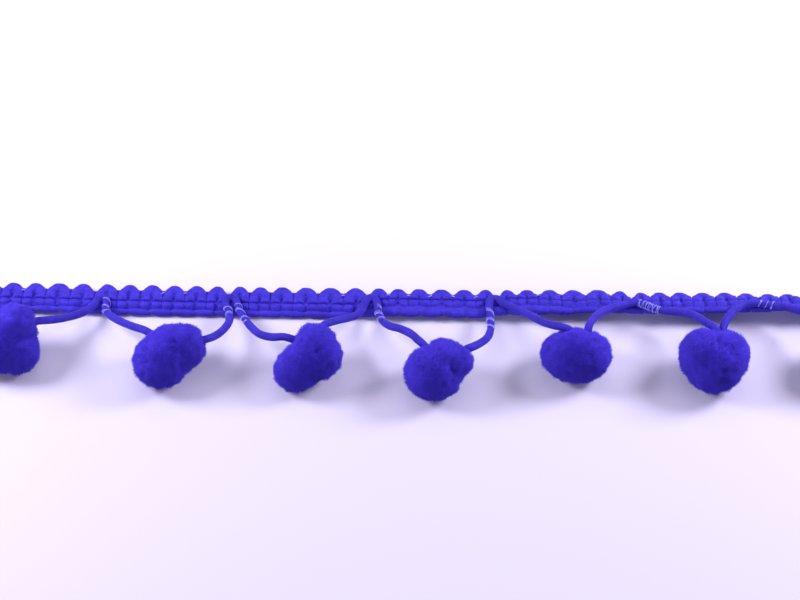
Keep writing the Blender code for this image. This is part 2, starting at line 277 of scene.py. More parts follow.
# Each ball is three or four lumps of pile run together, as in the part's own source. The fourth ball has one
# more lump here and a softer blend, which fill a valley between two of its lumps
BALLS = (
    dict(at=(-56.5, -12.7), blend=0.25,
         lumps=((1.6, 1.8, 1.9, 3.2), (1.75, -0.8, -0.6, 3.3), (-1.2, 0.0, 0.0, 4.15))),
    dict(at=(-32.9, -14.0), blend=0.45,
         lumps=((-1.1, -1.2, -0.6, 3.9), (2.2, 0.8, 0.4, 3.2), (-0.1, 0.6, 0.4, 3.0))),
    dict(at=(-13.1, -14.2), blend=0.4,
         lumps=((-1.75, -1.7, -1.05, 3.0), (1.1, 1.6, 1.3, 2.85), (1.7, 0.1, 0.2, 3.25),
                (-0.2, -0.6, -0.3, 3.1))),
    dict(at=(6.2, -15.6), blend=0.24,
         lumps=((-1.45, -0.95, -0.55, 3.97), (-0.1, 0.5, 0.0, 3.3), (1.9, 0.35, 0.4, 2.5),
                (0.45, -2.1, -1.3, 1.98), (0.6, 0.0, 0.6, 2.8))),
    dict(at=(25.6, -12.9), blend=0.4,
         lumps=((-2.1, 0.1, 0.1, 3.2), (1.3, -0.1, 0.1, 3.45), (-0.4, -0.05, 0.15, 3.9))),
    dict(at=(45.2, -13.6), blend=0.25,
         lumps=((-1.3, 0.3, 0.2, 4.0), (1.35, 0.3, 0.4, 3.45), (-0.2, -0.7, -0.35, 4.2))),
    dict(at=(64.7, -12.3), blend=0.4,
         lumps=((-1.2, 0.3, 0.3, 4.0), (1.2, -0.8, -0.3, 3.9), (0.0, 0.5, 0.1, 3.7))),
)
FLAT_SINK = 0.15
BALL_REACH = 9.0
BALL_CUTS = 40
BALL_SINK = 0.22
SKIN_RIPPLE = 0.08
SKIN_RIPPLE_SIZE = 0.8
FIBRES_A_BALL = 24000
FIBRE_LENGTH = 0.55
FIBRE_LENGTHS = (0.6, 1.15)
FIBRE_RADIUS = 0.05
FIBRE_SINK = 0.08
FIBRE_SHAKE = 0.5
FIBRE_SPREAD = 0.3
FIBRE_LEAN = 0.16
FIBRE_LEAN_SIZE = 1.1
FIBRE_ROUNDNESS = 0.8
TUFT_RIPPLE = 0.22
TUFT_RIPPLE_SIZE = 0.6
# A direction that no fibre follows exactly, from which its sides are found
ODD_WAY = (0.31, 0.52, 0.79)
# Where the skin, a fibre's root and its tip stand between the pile's dark and light colours. The dark end is
# painted shade: the skin and the roots are painted darker for the shade deep in the pile, and the tips get
# the pile's full colour
SKIN_PAINTED_SHADE_TONE = 0.1
ROOT_PAINTED_SHADE_TONE = 0.2
TIP_TONE = 1.0
# The pile parts into tufts round hollows of several sizes
DENTS_A_BALL = 20
DENT_DEPTHS = (0.1, 0.4)
DENT_REACHES = (0.35, 0.75)
# Deeper partings, about where the photograph shows them
HOLLOWS = (
    # ball, direction from its middle, depth, reach
    (2, (0.6, -3.7, 2.6), 0.5, 0.8),
    (2, (-2.6, -3.2, 2.1), 0.4, 0.6),
    (3, (1.9, -1.7, 3.8), 0.5, 0.45),
    (3, (-0.4, -3.2, 3.3), 0.35, 0.45),
    (3, (3.4, -2.7, 1.5), 0.45, 0.45),
    (5, (1.7, -2.5, 3.4), 0.45, 0.5),
    (5, (1.9, -3.2, 2.6), 0.4, 0.45),
    (6, (0.1, -0.3, 4.6), 0.6, 0.6),
    (6, (-0.1, -1.6, 4.3), 0.4, 0.5),
    (6, (0.4, -3.0, 3.4), 0.4, 0.5),
    (6, (0.9, -4.1, 2.0), 1.1, 0.6),
    (6, (0.7, -4.5, 0.7), 0.9, 0.6),
)
GROOVE_DEPTH = 0.7
GROOVE_REACH = 1.0
GROOVE_START = 0.3

# How finely a curve is drawn before it is cut into even steps, and how often a search halves its range
CURVE_CUTS = 12
HALVINGS = 14
SEARCH_BATCH = 4000
CAP_SHARE = 0.02
RIPPLE_WAVES = 24
RIPPLE_SCALE = 5.0

# Seeds of the random draws and of the smooth noise
HEADING_SEED = 11
VALLEY_SEED = 31
CHAIN_SEED = 100
EDGE_SEED = 201
PINCH_SEED = 202
CORD_SEED = 301
BALL_SEED = 400
SKIN_SEED = 500
LEAN_SEEDS = (600, 620, 640)
TUFT_SEED = 660
TURN_SEED = 700
STRAND_SEED = 720

SHEEN_TINT = (0.18, 0.13, 1.0, 1.0)
SHEEN_ROUGHNESS = 0.4
FABRIC_GLOSS = 0.15
YARN_DARK = (0.031, 0.018, 0.39, 1.0)
YARN_LIGHT = (0.047, 0.030, 0.57, 1.0)
CORD_DARK = (0.026, 0.015, 0.32, 1.0)
CORD_LIGHT = (0.039, 0.024, 0.48, 1.0)
# The pile's colour at the root is painted shade, darker than its own colour at the tip
PILE_ROOT_PAINTED_SHADE = (0.047, 0.027, 0.45, 1.0)
PILE_TIP = (0.068, 0.041, 0.73, 1.0)
FILAMENT = (0.24, 0.23, 0.95, 1.0)

LIGHTS = (
    # name, degrees round from the front, degrees up, distance, size, watts
    ("left softbox", -95, 36, 210, 80, 0.38),
    ("right softbox", 107, 36, 220, 85, 0.44),
    ("rear softbox", 180, 70, 700, 600, 1.1),
    ("front reflector", 0, 30, 700, 600, 1.3),
)
LIGHT_COLOUR = (1.0, 0.98, 1.0)
# The floor's colour at the front, a lighter one at the back, and the length in millimetres over which it
# changes: the lighter back is painted light
FLOOR_NEAR = (0.59, 0.55, 0.77, 1.0)
FLOOR_FAR_PAINTED_LIGHT = (0.77, 0.745, 0.85, 1.0)
FLOOR_PAINTED_LIGHT_FADE = 50.0
SKY_COLOUR = (0.97, 0.94, 1.0, 1.0)
SKY_STRENGTH = 0.28


def make_camera():
    distance = LENS / SENSOR * PHOTO_WIDTH / PIXELS_A_MM
    ahead = Vector((0.0, math.cos(CAMERA_RISE), -math.sin(CAMERA_RISE)))
    level = Vector((1.0, 0.0, 0.0))
    upward = level.cross(ahead)
    right = level * math.cos(CAMERA_ROLL) + upward * math.sin(CAMERA_ROLL)
    upward = upward * math.cos(CAMERA_ROLL) - level * math.sin(CAMERA_ROLL)
    data = bpy.data.cameras.new("camera")
    data.lens = LENS
    data.sensor_width = SENSOR
    data.clip_start = 10 * MM
    camera = bpy.data.objects.new("camera", data)
    bpy.context.scene.collection.objects.link(camera)
    turn = Matrix((right, upward, -ahead)).transposed()
    place = (Vector(-MIDDLE) - ahead * distance) * MM
    camera.matrix_world = Matrix.Translation(place) @ turn.to_4x4()
    bpy.context.scene.camera = camera


def to_frame(places):
    """Places in the tables' millimetres, in the frame's metres."""
    return (places - MIDDLE) * MM


def add_piece(name, points, faces, finish, uvs, uv_faces, replaced=(), normals=None):
    """A smooth mesh from triangles, which rides the trim's one body and stands for the named CAD nodes."""
    mesh = bpy.data.meshes.new(name)
    mesh.vertices.add(len(points))
    mesh.vertices.foreach_set("co", to_frame(points).astype(np.float32).ravel())
    mesh.loops.add(faces.size)
    mesh.loops.foreach_set("vertex_index", faces.astype(np.int32).ravel())
    mesh.polygons.add(len(faces))
    mesh.polygons.foreach_set("loop_start", np.arange(0, faces.size, 3, dtype=np.int32))
    layer = mesh.uv_layers.new(name="UVMap")
    layer.data.foreach_set("uv", uvs[uv_faces].astype(np.float32).ravel())
    mesh.update(calc_edges=True)
    mesh.validate()
    mesh.shade_smooth()
    if normals is not None:
        mesh.normals_split_custom_set_from_vertices(normals)
    mesh.materials.append(finish)
    piece = bpy.data.objects.new(name, mesh)
    bpy.context.scene.collection.objects.link(piece)
    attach(piece, "root")
    if replaced:
        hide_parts(*replaced)


class Parts:
    """Gathers several runs of points and triangles into one."""

    def __init__(self):
        self.points, self.faces, self.uvs, self.uv_faces = [], [], [], []
        self.point_count = self.uv_count = 0

    def add(self, points, faces, uvs, uv_faces):
        self.points.append(points)
        self.faces.append(faces + self.point_count)
        self.uvs.append(uvs)
        self.uv_faces.append(uv_faces + self.uv_count)
        self.point_count += len(points)
        self.uv_count += len(uvs)

    def joined(self):
        return [np.concatenate(runs) for runs in (self.points, self.faces, self.uvs, self.uv_faces)]


def tube(rings, along):
    """Points, triangles and UVs of a tube through rings of points, its two ends closed by a flat fan."""
    rows, around = rings.shape[:2]
    ends = rings[[0, -1]].mean(axis=1, keepdims=True)
    rim = np.stack([rings[0], rings[-1]])
    cap = ends + (rim - ends) * CAP_SHARE
    rings = np.concatenate([cap[:1], rings, cap[1:]])
    along = np.concatenate([along[:1], along, along[-1:]])
    rows += 2
    i, j = np.meshgrid(np.arange(rows - 1), np.arange(around), indexing="ij")
    here, beside = i * around + j, i * around + (j + 1) % around
    quads = np.stack([here, beside, beside + around, here + around], -1).reshape(-1, 4)
    wide = around + 1
    here, beside = i * wide + j, i * wide + j + 1
    uv_quads = np.stack([here, beside, beside + wide, here + wide], -1).reshape(-1, 4)
    girth = np.linalg.norm(rings - np.roll(rings, 1, axis=1), axis=2).sum(1).mean()
    u, v = np.meshgrid(along, np.linspace(0.0, girth, wide), indexing="ij")
    uvs = np.stack([u, v], -1).reshape(-1, 2)
    return (rings.reshape(-1, 3), halves(quads), uvs, halves(uv_quads))


def halves(quads):
    return np.concatenate([quads[:, [0, 1, 2]], quads[:, [0, 2, 3]]])


def smooth_rows(rows, step):
    """Rows one step apart on a curve through the given ones, whose first three columns are a place."""
    rows = np.asarray(rows, float)
    ends = np.vstack([2 * rows[0] - rows[1], rows, 2 * rows[-1] - rows[-2]])
    knots = np.concatenate([[0.0], np.cumsum(np.sqrt(lengths(ends)))])
    fine = []
    for i in range(1, len(ends) - 2):
        p, t = ends[i - 1:i + 3], knots[i - 1:i + 3]
        at = (t[1] + (t[2] - t[1]) * np.arange(CURVE_CUTS) / CURVE_CUTS)[:, None]
        a = [p[j] + (p[j + 1] - p[j]) * (at - t[j]) / (t[j + 1] - t[j]) for j in range(3)]
        b = [a[j] + (a[j + 1] - a[j]) * (at - t[j]) / (t[j + 2] - t[j]) for j in range(2)]
        fine.append(b[0] + (b[1] - b[0]) * (at - t[1]) / (t[2] - t[1]))
    fine = np.vstack(fine + [rows[-1:]])
    walked = np.concatenate([[0.0], np.cumsum(lengths(fine))])
    wanted = np.linspace(0.0, walked[-1], round(walked[-1] / step) + 1)
    return np.column_stack([np.interp(wanted, walked, column) for column in fine.T])


def lengths(rows):
    return np.linalg.norm(np.diff(rows[:, :3], axis=0), axis=1)


def distance_along(rows):
    return np.concatenate([[0.0], np.cumsum(lengths(rows))])


def unit(vectors):
    return vectors / np.linalg.norm(vectors, axis=-1, keepdims=True)


def ripple(places, size, seed):
    """Smooth noise of about -1 to 1 at each place, with lumps of the given size."""
    draw = np.random.default_rng(seed)
    ways = unit(draw.normal(size=(RIPPLE_WAVES, 3)))
    ways = ways * draw.uniform(0.6, 1.4, (RIPPLE_WAVES, 1)) * math.tau / (2 * size)
    starts = draw.uniform(0.0, math.tau, RIPPLE_WAVES)
    return np.sin(places @ ways.T + starts).sum(axis=1) / RIPPLE_SCALE


def tilt(x):
    """The heading's turn about its rear lower edge, in radians, at places along it."""
    places, degrees = np.array(TILTS, float).T
    i = np.clip(np.searchsorted(places, x) - 1, 0, len(places) - 2)
    share = np.clip((x - places[i]) / (places[i + 1] - places[i]), 0.0, 1.0)
    share = share * share * (3 - 2 * share)
    return np.radians(degrees[i] + (degrees[i + 1] - degrees[i]) * share)


def laid(places):
    """Places on a flat heading, as along, across and height, as the heading lies."""
    x, across, height = np.moveaxis(places, -1, 0)
    turn = tilt(x)
    y = REAR_LINE - np.interp(x, *np.array(REAR_DRIFTS).T) - across * np.cos(turn) + height * np.sin(turn)
    z = across * np.sin(turn) + height * np.cos(turn)
    return np.stack([x, y, z], -1)


def yarn_rings(rows, wide, high, around, seed, squareness=1.0):
    """Rings of a plied yarn on the flat heading. A squareness below 1 makes its section squarer."""
    ahead = np.gradient(rows[:, :3], axis=0)
    ahead[:, 2] = 0.0
    ahead = unit(ahead)
    side = np.stack([-ahead[:, 1], ahead[:, 0], 0 * ahead[:, 0]], -1)
    turn = np.arange(around) * math.tau / around
    twist = turn[None] - math.tau * PLY_TURNS_A_MM * distance_along(rows)[:, None]
    swell = 1 + PLY_DEPTH * np.abs(np.cos(PLIES * twist / 2)) * 2 - PLY_DEPTH
    swell += YARN_SWELL * ripple(rows[:, :3], YARN_SWELL_SIZE, seed)[:, None]
    level, up = (np.sign(part) * np.abs(part) ** squareness for part in (np.cos(turn), np.sin(turn)))
    across = side[:, None] * (wide[:, None] * swell * level)[..., None]
    upward = np.array((0.0, 0.0, 1.0)) * (high[:, None] * swell * up)[..., None]
    return rows[:, None, :3] + across + upward


def chain_spread(x):
    return np.interp(x, *np.array(CHAIN_SPREADS).T)


def moved_back(across, x):
    """Where a row of the heading runs at x, as it makes room for the chain there."""
    return across - np.interp(across, *np.array(MOVES_BACK).T) * (chain_spread(x) - 1) / WIDEST_SPREAD


def picot_yarn(start, middle, end, draw, seed):
    rows = []
    slip = draw.normal(0.0, LEG_SLACK)
    for side, far in ((-1, middle - start), (1, end - middle)):
        leg = LEG if side < 0 else LEG[-2::-1]
        lean = draw.normal(0.0, LEG_SLACK)
        for share, across, height, half_width, half_height in leg:
            x = middle + side * (share + lean) * far
            rows.append((x, moved_back(across, x) + slip, height, half_width * far, half_height))
    rows = smooth_rows(rows, LEG_STEP)
    rings = yarn_rings(rows, rows[:, 3], rows[:, 4], LEG_SIDES, seed, LEG_SQUARENESS)
    return tube(rings, distance_along(rows))


def chain_yarn(start, end, draw, seed):
    far = end - start
    slip = draw.normal(0.0, CHAIN_SLACK)
    rows = [
        (start + (share + slip) * far, across, height, radius)
        for share, across, height, radius in CHAIN
    ]
    rows = smooth_rows(rows, CHAIN_STEP)
    spread = chain_spread(rows[:, 0]) - 1
    radius = rows[:, 3].copy()
    rows[:, 1] -= SPREAD_INWARD * spread
    rows[:, 2] += SPREAD_RISE * spread
    rings = yarn_rings(rows, radius * (1 + spread), radius + SPREAD_RISE * spread, CHAIN_SIDES, seed)
    return tube(rings, distance_along(rows))


def thread_along(thread, edges, seed):
    """A thin thread along the heading, high over each leg and low between two of them."""
    x = np.arange(HEADING_START, HEADING_END, THREAD_STEP)
    i = np.clip(np.searchsorted(edges, x, side="right") - 1, 0, len(edges) - 2)
    share = (x - edges[i]) / (edges[i + 1] - edges[i])
    height = thread["low"] + (thread["high"] - thread["low"]) * np.sin(math.pi * share) ** THREAD_ARCH
    rows = np.stack([x, moved_back(thread["across"], x), height], -1)
    rows[:, 1] += THREAD_WANDER * ripple(rows, THREAD_WANDER_SIZE, seed)
    radius = np.full(len(x), thread["radius"])
    return tube(yarn_rings(rows, radius, radius, THREAD_SIDES, seed), distance_along(rows))


def push_out(points, route, radius):
    """Moves what is nearer the route than the radius straight out to it."""
    near = nearest(points, route)
    offset = points - route[near]
    far = np.linalg.norm(offset, axis=1)
    inside = far < radius
    points[inside] = route[near[inside]] + offset[inside] * (radius / far[inside])[:, None]
    return points


def nearest(points, route):
    """The number of the route's point that is nearest to each point."""
    found = np.empty(len(points), int)
    for start in range(0, len(points), SEARCH_BATCH):
        part = points[start:start + SEARCH_BATCH]
        found[start:start + SEARCH_BATCH] = ((part[:, None] - route[None]) ** 2).sum(-1).argmin(1)
    return found


def make_heading(route, finish):
    """The heading's yarns, laid out flat, drawn in at the junctions, then tilted, clear of the cord."""
    draw = np.random.default_rng(HEADING_SEED)
    middles = np.array(PICOTS)
    valleys = (middles[:-1] + middles[1:]) / 2
    starts = np.concatenate([[HEADING_START], valleys])
    ends = np.concatenate([valleys, [HEADING_END]])
    parts = Parts()
    for number, (start, middle, end) in enumerate(zip(starts, middles, ends)):
        parts.add(*picot_yarn(start, middle, end, draw, number))
    stitches = np.concatenate([[HEADING_START + CHAIN_INSET], middles, [HEADING_END - CHAIN_INSET]])
    for number, (start, end) in enumerate(zip(stitches, stitches[1:])):
        parts.add(*chain_yarn(start, end, draw, CHAIN_SEED + number))
    picot_edges = np.concatenate([[HEADING_START], valleys, [HEADING_END]])
    parts.add(*thread_along(EDGE_THREAD, picot_edges, EDGE_SEED))
    leg_edges = np.sort(np.concatenate([picot_edges, middles]))
    for number, thread in enumerate(PINCH_THREADS):
        parts.add(*thread_along(thread, leg_edges, PINCH_SEED + number))
    x = np.arange(HEADING_START + CORE_INSET, HEADING_END - CORE_INSET, CORE_STEP)
    core = np.array([[(place, across, height) for across, height in CORE] for place in x])
    parts.add(*tube(core, x))
    points, faces, uvs, uv_faces = parts.joined()
    for junction, pull in zip(valleys[::PICOTS_A_REPEAT], JUNCTION_PULLS):
        near = np.clip(1 - ((points[:, 0] - junction) / JUNCTION_REACH) ** 2, 0.0, 1.0) ** 2
        points[:, 1] += pull * near * np.clip(JUNCTION_FULL - points[:, 1] / JUNCTION_FADE, 0.0, 1.0)
    points[:, 2] = np.maximum(points[:, 2], HEADING_LOWEST)
    points = push_out(laid(points), route, YARN_RADIUS + CORD_CLEAR)
    points[:, 2] = np.maximum(points[:, 2], LOWEST)
    add_piece("heading_yarn", points, faces, finish, uvs, uv_faces, ["heading"])


def cord_rows():
    """The route's own points, from the heading's left end to its right one."""
    return [point for loop in LOOPS for side in ("down", "core", "up") for point in loop[side]]


def moving_frames(rows):
    """The way ahead, a side and an upward direction at each row, turning as little as they can."""
    ahead = unit(np.gradient(rows, axis=0))
    side = np.empty_like(ahead)
    side[0] = unit(np.cross(ahead[0], (0.0, 0.0, 1.0)))
    for i in range(1, len(rows)):
        level = side[i - 1] - ahead[i] * (side[i - 1] @ ahead[i])
        side[i] = unit(level)
    return ahead, side, np.cross(side, ahead)


def round_rings(rows, radius, around):
    _, side, upward = moving_frames(rows)
    turn = np.arange(around) * math.tau / around
    spokes = side[:, None] * np.cos(turn)[:, None] + upward[:, None] * np.sin(turn)[:, None]
    return rows[:, None] + spokes * radius[:, None, None]


def make_cord(route, finish):
    """The cord, with round ends, and a little thinner where the filament is wound round it."""
    along = distance_along(route)
    radius = YARN_RADIUS * (1 + CORD_SWELL * ripple(route, CORD_SWELL_SIZE, CORD_SEED))
    ends = np.minimum(along, along[-1] - along)
    radius *= np.sqrt(1 - np.clip(1 - ends / YARN_RADIUS, 0.0, CORD_END_ROUND) ** 2)
    places = junctions(route)
    for junction, first, last, _, _ in BINDINGS:
        gap = np.abs(along - places[junction] - (first + last) / 2) - (last - first) / 2
        radius *= 1 - BINDING_SQUEEZE * np.clip(1 - gap / SQUEEZE_FADE, 0.0, 1.0)
    points, faces, uvs, uv_faces = tube(round_rings(route, radius, CORD_SIDES), along)
    add_piece("pompom_cord_yarn", points, faces, finish, uvs, uv_faces, ["pompom_cord"])


def junctions(route):
    """How far along the cord each junction with the heading is."""
    along = distance_along(route)
    found = [0.0]
    for before, after in zip(LOOPS, LOOPS[1:]):
        middle = (np.array(before["up"][-1]) + np.array(after["down"][0])) / 2
        found.append(along[nearest(middle[None], route)[0]])
    return found + [along[-1]]


def wind(parts, route):
    """Adds a few uneven turns round the cord for each binding, with one or more strands side by side."""
    along = distance_along(route)
    _, side, upward = moving_frames(route)
    places = junctions(route)
    for junction, first, last, pitch, strands in BINDINGS:
        girth = math.tau * (YARN_RADIUS + STRAND_RADIUS)
        turns = (last - first) / pitch
        count = round(abs(turns) * girth / STRAND_STEP)
        steps = np.linspace(first, last, count)
        turn = np.linspace(0.0, turns * math.tau, count)
        turn = turn + TURN_WANDER * np.sin(TURN_WANDER_RATE * steps + junction)
        for strand in range(strands):
            shift = (strand - (strands - 1) / 2) * 2 * STRAND_RADIUS
            spots = [steps, np.full(count, STRAND_UNLIKENESS * strand), np.full(count, pitch)]
            wander = ripple(np.column_stack(spots), STRAND_WANDER_SIZE, TURN_SEED + junction)
            where = places[junction] + steps + shift + STRAND_WANDER * wander
            middle, out, over = (
                np.column_stack([np.interp(where, along, column) for column in table.T])
                for table in (route, side, upward)
            )
            spoke = out * np.cos(turn)[:, None] + over * np.sin(turn)[:, None]
            rows = middle + spoke * (YARN_RADIUS * (1 - BINDING_SQUEEZE) + STRAND_RADIUS * STRAND_OUT)
            swell = ripple(rows, STRAND_SWELL_SIZE, STRAND_SEED + strand)
            radius = STRAND_RADIUS * (1 + STRAND_SWELL * swell)
            parts.add(*tube(round_rings(rows, radius, STRAND_SIDES), distance_along(rows)))


def arch_over_valleys(parts):
    """Adds the short arches of filament between picots."""
    middles = np.array(PICOTS)
    draw = np.random.default_rng(VALLEY_SEED)
    share = np.linspace(-1, 1, VALLEY_POINTS)
    arch = 1 - share ** 2
    for valley in (middles[:-1] + middles[1:]) / 2:
        if draw.uniform() < VALLEY_SHARE or abs(valley) < VALLEY_SURE:
            x = valley + np.linspace(-VALLEY_HALF_WIDTH, VALLEY_HALF_WIDTH, VALLEY_POINTS)
            across = VALLEY_ACROSS + draw.normal(0.0, VALLEY_SHIFT) + draw.normal(0.0, VALLEY_LEAN) * share
            rows = np.stack([x, across, VALLEY_HEIGHT + VALLEY_RISE * arch], -1)
            radius = VALLEY_RADIUS + VALLEY_SWELL * arch
            parts.add(*tube(round_rings(laid(rows), radius, STRAND_SIDES), x))


def make_binding(route, finish):
    parts = Parts()
    wind(parts, route)
    arch_over_valleys(parts)
    points, faces, uvs, uv_faces = parts.joined()
    add_piece("binding_filament", points, faces, finish, uvs, uv_faces)


def lump_field(places, lumps, blend):
    """How far each place lies outside the lumps, and the way straight out of them."""
    centres, radii = lumps[:, :3], lumps[:, 3]
    offset = places[:, None] - centres[None]
    far = np.linalg.norm(offset, axis=-1)
    weight = np.exp(-(far - radii) / blend)
    total = weight.sum(1)
    outward = ((weight / far)[..., None] * offset).sum(1) / total[:, None]
    return -blend * np.log(total), unit(outward)


def lump_radius(directions, lumps, blend):
    """How far the surface of the lumps is from the ball's middle in each direction."""
    low, high = np.zeros(len(directions)), np.full(len(directions), BALL_REACH)
    for _ in range(HALVINGS):
        middle = (low + high) / 2
        inside = lump_field(directions * middle[:, None], lumps, blend)[0] < 0
        low, high = np.where(inside, middle, low), np.where(inside, high, middle)
    return (low + high) / 2


def cube_sphere(cuts):
    """Directions spread evenly over a ball, as a cube's six faces with grids, and their triangles."""
    steps = np.tan(np.linspace(-1, 1, cuts + 1) * math.pi / 4)
    a, b = (grid.ravel() for grid in np.meshgrid(steps, steps, indexing="ij"))
    one = np.ones_like(a)
    i, j = (grid.ravel() for grid in np.meshgrid(np.arange(cuts), np.arange(cuts), indexing="ij"))
    here = i * (cuts + 1) + j
    quads = np.stack([here, here + cuts + 1, here + cuts + 2, here + 1], -1)
    directions, faces = [], []
    for axis in range(3):
        for sign in (-1, 1):
            columns = [a, b]
            columns.insert(axis, sign * one)
            flip = (sign > 0) == (axis == 1)
            directions.append(np.stack(columns, -1))
            faces.append(halves(quads[:, ::-1] if flip else quads) + len(faces) * len(a))
    return unit(np.concatenate(directions)), np.concatenate(faces)


def even_directions(count, draw):
    """Directions spread over a ball on a golden-angle spiral, each shaken a little."""
    number = np.arange(count) + 0.5
    up = 1 - 2 * number / count
    around = number * math.pi * (3 - math.sqrt(5))
    flat = np.sqrt(1 - up * up)
    spiral = np.stack([flat * np.cos(around), flat * np.sin(around), up], -1)
    return unit(spiral + draw.normal(0.0, FIBRE_SHAKE / math.sqrt(count), spiral.shape))


def groove(places, route):
    """How deep the pile is parted where the cord goes in."""
    gap = np.linalg.norm(places - route[nearest(places, route)], axis=1)
    return GROOVE_DEPTH * np.exp(-(gap / GROOVE_REACH) ** 2)


def make_ball(number, ball, route, finish):
    """A ball: a skin with hollows and grooves, and short fibres that stand on it."""
    lumps = np.array(ball["lumps"])
    blend = ball["blend"]
    draw = np.random.default_rng(BALL_SEED + number)
    directions, faces = cube_sphere(BALL_CUTS)
    radius = lump_radius(directions, lumps, blend)
    lowest = (directions[:, 2] * radius).min()
    centre = np.array((*ball["at"], -lowest - FLAT_SINK))
    near = route[np.linalg.norm(route - centre, axis=1) < BALL_REACH] - centre
    near = near[lump_field(near, lumps, blend)[0] > -GROOVE_START]
    own = [row[1:] for row in HOLLOWS if row[0] == number]
    own_aims = np.reshape([row[0] for row in own], (-1, 3))
    dent_aims = unit(np.concatenate([draw.normal(size=(DENTS_A_BALL, 3)), own_aims]))
    dents = dent_aims * lump_radius(dent_aims, lumps, blend)[:, None]
    dent_depths = np.concatenate([draw.uniform(*DENT_DEPTHS, DENTS_A_BALL), [row[1] for row in own]])
    dent_reaches = np.concatenate([draw.uniform(*DENT_REACHES, DENTS_A_BALL), [row[2] for row in own]])

    def skin(directions, radius, depth):
        places = directions * radius[:, None]
        outward = lump_field(places, lumps, blend)[1]
        gaps = np.linalg.norm(places[:, None] - dents[None], axis=2)
        dip = depth + groove(places, near) + (dent_depths * np.exp(-(gaps / dent_reaches) ** 2)).sum(1)
        dip += SKIN_RIPPLE * ripple(places + centre, SKIN_RIPPLE_SIZE, SKIN_SEED + number)
        return places - outward * dip[:, None], outward

    body, body_normals = skin(directions, radius, BALL_SINK)
    aims = even_directions(FIBRES_A_BALL, draw)
    roots, outward = skin(aims, lump_radius(aims, lumps, blend), BALL_SINK + FIBRE_SINK)
    lean = np.stack([ripple(roots + centre, FIBRE_LEAN_SIZE, seed + number) for seed in LEAN_SEEDS], -1)
    ways = unit(outward + FIBRE_LEAN * lean + draw.normal(0.0, FIBRE_SPREAD, roots.shape))
    size = FIBRE_LENGTH * draw.uniform(*FIBRE_LENGTHS, (len(roots), 1))
    size = size * (1 + TUFT_RIPPLE * ripple(roots, TUFT_RIPPLE_SIZE, TUFT_SEED)[:, None])
    tips = roots + ways * size
    side = unit(np.cross(ways, ODD_WAY))
    other = np.cross(ways, side)
    corners = [
        roots + FIBRE_RADIUS * (side * math.cos(turn) + other * math.sin(turn))
        for turn in (0.0, math.tau / 3, 2 * math.tau / 3)
    ]
    fibres = np.stack([*corners, tips], 1).reshape(-1, 3)
    first = np.arange(len(roots))[:, None] * 4 + len(body)
    fibre_faces = np.concatenate([first + (0, 1, 3), first + (1, 2, 3), first + (2, 0, 3)])
    points = np.concatenate([body, fibres]) + centre
    points[:, 2] = np.maximum(points[:, 2], LOWEST)
    shade = draw.uniform(0.0, 1.0, len(roots))
    # The skin and each fibre's root take a low tone on the pile's colour ramp, which is painted shade deep
    # in the pile
    painted_shade_tones = np.tile((ROOT_PAINTED_SHADE_TONE, ROOT_PAINTED_SHADE_TONE, ROOT_PAINTED_SHADE_TONE, TIP_TONE), len(roots))
    fibre_uvs = np.stack([np.repeat(shade, 4), painted_shade_tones], -1)
    uvs = np.concatenate([np.full((len(body), 2), (0.5, SKIN_PAINTED_SHADE_TONE)), fibre_uvs])
    spokes = np.stack([*(unit(corner - roots) for corner in corners), ways], 1).reshape(-1, 3)
    soft = np.repeat(outward, 4, axis=0) + FIBRE_ROUNDNESS * spokes
    normals = np.concatenate([body_normals, unit(soft)])
    all_faces = np.concatenate([faces, fibre_faces])
    name = "pompom_%d" % number
    add_piece("pompom_pile_%d" % number, points, all_faces, finish, uvs, all_faces, [name], normals)


def node(tree, kind, **settings):
    """A new node. A setting is one of its properties where it has that, and otherwise one of its inputs."""
    made = tree.nodes.new(kind)
    for name, value in settings.items():
        if hasattr(made, name):
            setattr(made, name, value)
        else:
            made.inputs[name.replace("_", " ")].default_value = value
    return made


def new_finish(name, colour, roughness, sheen):
    """A new material, its node tree and its shader."""
    finish = bpy.data.materials.new(name)
    finish.use_nodes = True
    shader = finish.node_tree.nodes["Principled BSDF"]
    shader.inputs["Base Color"].default_value = colour
    shader.inputs["Roughness"].default_value = roughness
    shader.inputs["Sheen Weight"].default_value = sheen
    shader.inputs["Sheen Roughness"].default_value = SHEEN_ROUGHNESS
    shader.inputs["Sheen Tint"].default_value = SHEEN_TINT
    shader.inputs["Specular IOR Level"].default_value = FABRIC_GLOSS
    return finish, finish.node_tree, shader


def mottled(tree, dark, light, size):
    """A colour that drifts between a dark and a light one in patches of the given size."""
    place = node(tree, "ShaderNodeTexCoord")
    noise = node(tree, "ShaderNodeTexNoise", Scale=1 / (size * MM), Detail=3.0, Roughness=0.6)
    ramp = node(tree, "ShaderNodeValToRGB")
    ramp.color_ramp.elements[0].position = 0.32
    ramp.color_ramp.elements[0].color = dark
    ramp.color_ramp.elements[1].position = 0.68
    ramp.color_ramp.elements[1].color = light
    tree.links.new(place.outputs["Object"], noise.inputs["Vector"])
    tree.links.new(noise.outputs["Fac"], ramp.inputs["Fac"])
    return ramp.outputs["Color"]


def yarn_finish():
    """Soft plied yarn: fine filaments that run round with the twist, over drifting blue."""
    finish, tree, shader = new_finish("heading yarn", YARN_LIGHT, 0.62, 0.25)
    tree.links.new(mottled(tree, YARN_DARK, YARN_LIGHT, 0.9), shader.inputs["Base Color"])
    place = node(tree, "ShaderNodeTexCoord")
    lean = node(tree, "ShaderNodeMapping")
    lean.inputs["Rotation"].default_value = (0.0, 0.0, math.radians(24))
    lines = node(tree, "ShaderNodeTexWave", bands_direction="Y", Scale=1.3, Distortion=1.2, Detail=2.0)
    bump = node(tree, "ShaderNodeBump", Strength=0.55, Distance=0.05 * MM)
    tree.links.new(place.outputs["UV"], lean.inputs["Vector"])
    tree.links.new(lean.outputs["Vector"], lines.inputs["Vector"])
    tree.links.new(lines.outputs["Fac"], bump.inputs["Height"])
    tree.links.new(bump.outputs["Normal"], shader.inputs["Normal"])
    return finish


